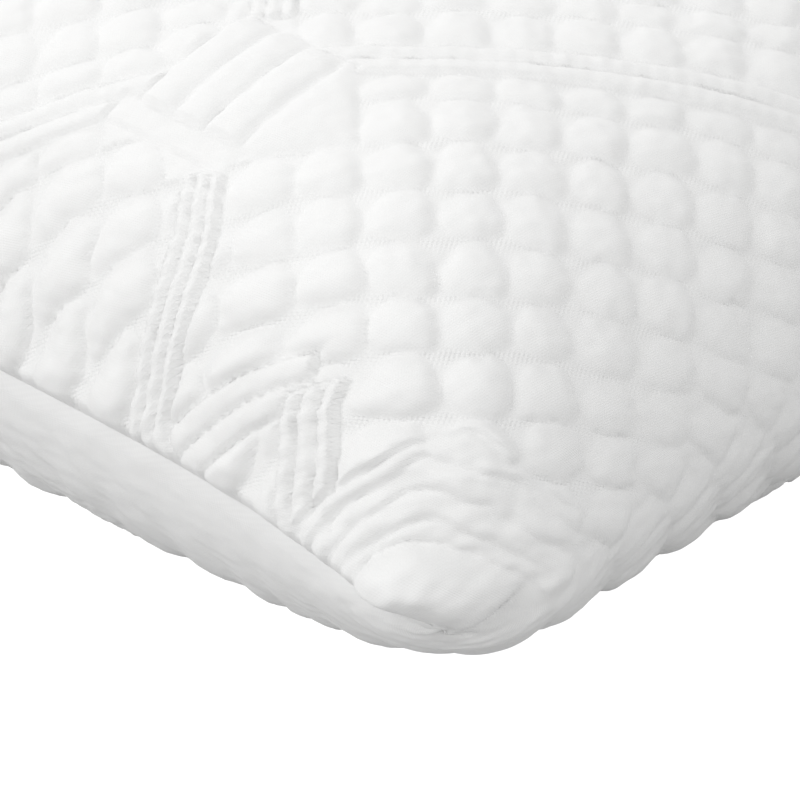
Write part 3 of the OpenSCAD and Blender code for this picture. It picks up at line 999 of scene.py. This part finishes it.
def round_tips(points, from_seam, t):
    """Softens the sharp tips where the side seams meet the front fold."""
    rounded = points.copy()
    rows = np.abs(t[0]) < TIP_REACH
    for half in (slice(0, len(points) // 2), slice(len(points) // 2, None)):
        columns = np.zeros(len(points), bool)
        columns[half] = from_seam[half, 0] < TIP_REACH
        block = np.ix_(columns, rows)
        patch = points[block]
        weight = smooth(1 - np.hypot(from_seam[block], t[block]) / TIP_REACH)[..., None]
        for _ in range(TIP_PASSES):
            for axis in (0, 1):
                width = [(1, 1) if k == axis else (0, 0) for k in range(3)]
                wide = np.pad(patch, width, mode="edge")
                low, high = np.delete(wide, [-1, -2], axis), np.delete(wide, [0, 1], axis)
                patch = patch + weight * ((low + high) / 2 - patch) / 2
        rounded[block] = patch
    return rounded


def slit_line(from_seam):
    """Where the slit at each tip lies round the fabric."""
    return SLIT_AT + SLIT_SLOPE * from_seam


def bulge_tips(points, from_seam, t):
    """At each tip the upper fabric bulges out over its seam."""
    from_tip = np.hypot(from_seam, t)
    near = smooth(1 - from_tip / BULGE_REACH) * (BLUNT + (1 - BLUNT) * smooth(from_tip / BLUNT_REACH))
    near *= np.exp(-((from_seam / BULGE_WIDTH) ** 2)) * smooth((t - slit_line(from_seam)) / BULGE_EDGE)
    x, y, z = BULGE_WAY
    way = np.stack([np.sign(points[..., 0]) * x, np.full_like(t, y), np.full_like(t, z)], -1)
    return points + BULGE * near[..., None] * way


def slit_tips(points, from_seam, t):
    """Under its bulge each tip is tucked in along a short slit."""
    across = (t - slit_line(from_seam) + SLIT_HALF) / SLIT_HALF
    depth = SLIT_DEPTH * np.exp(-(across**2)) * smooth(from_seam / SLIT_START)
    depth *= smooth((SLIT_LENGTH - from_seam) / SLIT_END)
    return points - grid_normals(points) * depth[..., None]


def make_cover(moves):
    """The quilted cover: its outer face is quilted, and its inner face is plain."""
    fabric = Fabric(COVER_OUTER, moves)
    s = places_along(fabric.length, FINE_STEP, COARSE_STEP, FINE_ALONG)
    t = places_round(fabric, FINE_STEP, COARSE_STEP, FINE_OVER, FINE_UNDER)
    s_grid, t_grid = np.meshgrid(s, t, indexing="ij")
    from_seam = fabric.length / 2 - np.abs(s_grid)
    ground = round_tips(fabric.lay(s, t), from_seam, t_grid)
    mouth_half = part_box("cover_zip_upper_tape")[1].x
    height, textures = quilt(s_grid, t_grid)
    from_zip = np.minimum(fabric.over - t_grid, fabric.under + t_grid)
    from_zip = np.maximum(from_zip, np.abs(ground[..., 0]) - mouth_half)
    relief = smooth((from_zip - FLAT_BY_ZIP) / FLAT_FADE) * tightness(from_seam, t_grid)
    height *= relief
    height += creases(s_grid, t_grid) - QUILT_GROUND
    by_seam = smooth(1 - from_seam / OVERHANG_REACH)
    height += by_seam * smooth(np.abs(t_grid) / SEAM_RUN_OUT) * np.where(t_grid > 0, OVERHANG, -TUCK_UNDER)
    outside = ground + grid_normals(ground) * height[..., None]
    outside[..., 2] = np.maximum(outside[..., 2], 0)
    outside = sewn_in(bulge_tips(outside, from_seam, t_grid), ground, fabric, s, t, SEAM_DEPTH, SEAM_REACH)
    outside = slit_tips(outside, from_seam, t_grid)
    lining, s_in, t_in, inside = laid_plain(COVER_INNER, moves, LINER_STEP)
    inside = sewn_in(inside, inside, lining, s_in, t_in, 0, SEAM_REACH)
    cover = make_panel("quilted_cover", (s, t, outside), (s_in, t_in, inside), mouth_half, quilted_knit())
    for name, values in textures.items():
        add_attribute(cover.data, name, values * np.minimum(1, relief**2))
    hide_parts("cover_panel")
    return cover


# ---- liner, filling and label

LINER_RELIEF = 0.35 * MM
LUMP_SIZE = 16 * MM
LUMP_HEIGHT = 2.2 * MM
LABEL_PLY = 0.25 * MM
LABEL_GAP = 0.9 * MM
LABEL_STEPS, LABEL_COLUMNS = 60, 15
FILLING_STEP, CRUMB_SIZE = 4 * MM, 5 * MM


def make_liner(moves):
    """The plain bag inside the cover, slightly rumpled."""
    fabric, s, t, outside = laid_plain(LINER_OUTER, moves, LINER_STEP)
    rumple = value_noise(*np.meshgrid(s, t, indexing="ij"), 24 * MM, 51) - 1
    ground, outside = outside, outside + grid_normals(outside) * (rumple * LINER_RELIEF)[..., None]
    outside = sewn_in(outside, ground, fabric, s, t, 0, SEAM_REACH)
    _, s_in, t_in, inside = laid_plain(LINER_INNER, moves, 2 * LINER_STEP)
    material = make_material("liner_cloth", (0.86, 0.86, 0.86), 0.9)
    add_bump(material, weave_pattern(material, 0.9 * MM, 0.9 * MM), 0.3, 0.05 * MM)
    mouth_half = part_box("liner_zip_upper_tape")[1].x
    liner = make_panel("liner", (s, t, outside), (s_in, t_in, inside), mouth_half, material)
    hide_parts("liner_panel")


def make_filling(moves):
    """The shredded foam, as one lumpy body."""
    fabric, s, t, points = laid_plain(FOAM_SKIN, moves, FILLING_STEP)
    s_grid, t_grid = np.meshgrid(s, t, indexing="ij")
    lumps = np.abs(value_noise(s_grid, t_grid, LUMP_SIZE, 61))
    lumps += 0.4 * np.abs(value_noise(s_grid, t_grid, LUMP_SIZE / 2.6, 62))
    ground, points = points, points + grid_normals(points) * ((lumps - 1.4) * LUMP_HEIGHT)[..., None]
    points = sewn_in(points, ground, fabric, s, t, 0, SEAM_REACH)
    material = make_material("shredded_foam", (0.86, 0.79, 0.58), 0.95)
    nodes, links = material.node_tree.nodes, material.node_tree.links
    place = nodes.new("ShaderNodeUVMap")
    place.uv_map = "fabric"
    crumbs = nodes.new("ShaderNodeTexVoronoi")
    set_inputs(crumbs, Scale=1 / CRUMB_SIZE)
    links.new(place.outputs["UV"], crumbs.inputs["Vector"])
    add_bump(material, crumbs.outputs["Distance"], 0.6, 1 * MM)
    foam = make_panel("foam", (s, t, points), None, 0, material)
    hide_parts("foam_filling")


def make_label():
    """The blank care label: a folded strip of satin, sewn into the right seam and hanging from it."""
    low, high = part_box("care_label")
    front, top, foot = high.x - 0.4 * MM, high.z, low.z
    back = front - LABEL_GAP
    path = [(low.x, top - 0.5 * MM), (front - 1 * MM, top - 0.6 * MM), (front, top - 2.2 * MM)]
    path += [(front - 0.2 * MM, foot + 22 * MM), (front - 0.5 * MM, foot + 1 * MM), (back, foot)]
    path += [(back - 0.6 * MM, foot + 1.5 * MM), (back - 0.6 * MM, foot + 22 * MM)]
    path += [(back - 0.5 * MM, top - 4 * MM), (low.x, top - 1.4 * MM)]
    path = even_out(np.array(path)[:, None, [0, 0, 1]], LABEL_STEPS)[:, 0, [0, 2]]
    across = np.linspace(low.y, high.y, LABEL_COLUMNS)
    hang = np.clip((top - path[:, 1:]) / (top - foot), 0, 1)
    curl = hang**1.5 * (0.7 * np.cos(across / (6.5 * MM)) + 0.6 * np.sin(across / (11 * MM))) * MM
    points = np.stack(np.broadcast_arrays(path[:, :1] + curl, across, path[:, 1:]), -1)
    index = np.arange(curl.size).reshape(curl.shape)
    material = make_material("label_satin", (0.9, 0.9, 0.89), 0.45)
    label = add_object("care_label_strip", points.reshape(-1, 3), grid_faces(index).tolist(), material)
    solid = label.modifiers.new("ply", "SOLIDIFY")
    solid.thickness = LABEL_PLY
    solid.offset = 0
    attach(label, BODY)
    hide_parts("care_label")


# ---- zips and seams

COIL_PITCH = 1.5 * MM
WIRE_RADIUS = 0.28 * MM
WIRE_SIDES = 6
TURN_STEPS = 8
BEVEL = 0.25 * MM


def make_coil(name, node, material):
    """A zip coil: nylon wire wound along the tape's edge, in the place of its plain CAD bar."""
    low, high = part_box(node)
    turns = round((high.x - low.x) / COIL_PITCH)
    angle = np.linspace(0, 2 * math.pi * turns, TURN_STEPS * turns + 1)
    x = np.linspace(low.x + WIRE_RADIUS, high.x - WIRE_RADIUS, len(angle))
    radius = (high.y - low.y) / 2 - WIRE_RADIUS
    y, z = (low.y + high.y) / 2 + radius * np.cos(angle), (low.z + high.z) / 2 + radius * np.sin(angle)
    line = np.stack([x, y, z], -1)
    forward = unit(np.gradient(line, axis=0))
    side = unit(np.cross(forward, [1.0, 0.0, 0.0]))
    up = np.cross(side, forward)
    ring = np.linspace(0, 2 * math.pi, WIRE_SIDES, endpoint=False)[:, None]
    tube = line[:, None] + WIRE_RADIUS * (np.cos(ring) * side[:, None] + np.sin(ring) * up[:, None])
    index = np.arange(tube[..., 0].size).reshape(tube.shape[:2])
    turned = np.roll(index, -1, axis=1)
    faces = np.stack([index[:-1], turned[:-1], turned[1:], index[1:]], -1).reshape(-1, 4).tolist()
    faces += [index[0].tolist(), index[-1].tolist()]
    coil = add_object(name, tube.reshape(-1, 3), faces, material)
    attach(coil, BODY)
    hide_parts(node)


def object_bump(material, axis, pitch, strength, distance):
    """Fine ribs across an axis of the object."""
    nodes, links = material.node_tree.nodes, material.node_tree.links
    place = nodes.new("ShaderNodeTexCoord")
    ribs = nodes.new("ShaderNodeTexWave")
    ribs.bands_direction = axis
    set_inputs(ribs, Scale=2 * math.pi / (20 * pitch))
    links.new(place.outputs["Object"], ribs.inputs["Vector"])
    add_bump(material, ribs.outputs["Fac"], strength, distance)


def finish_hardware():
    """Better materials and softer edges for the CAD nodes that stay."""
    tape = make_material("zip_tape", (0.88, 0.88, 0.88), 0.85)
    object_bump(tape, "X", 0.8 * MM, 0.5, 0.05 * MM)
    thread = make_material("sewing_thread", (0.86, 0.86, 0.85), 0.85)
    object_bump(thread, "Y", 1.6 * MM, 0.8, 0.2 * MM)
    metal = make_material("zip_metal", (0.86, 0.86, 0.86), 0.28)
    coil = make_material("zip_coil", (0.9, 0.9, 0.9), 0.35)
    for name, node in frame["nodes"].items():
        finish = {"tape": tape, "seam": thread, "slider": metal, "pull": metal, "stop": metal, "coil": coil}
        for word, material in finish.items():
            if word in name:
                node.data.materials.clear()
                node.data.materials.append(material)
        if "slider" in name or "pull" in name or "stop" in name:
            bevel = node.modifiers.new("edges", "BEVEL")
            bevel.width = BEVEL
            bevel.segments = 2
            bevel.harden_normals = True
    for side in ("upper", "lower"):
        make_coil(f"cover_{side}_coil_wire", f"cover_zip_{side}_coil", coil)


moves = cover_moves()
cover = make_cover(moves)
make_liner(moves)
make_filling(moves)
make_label()
finish_hardware()
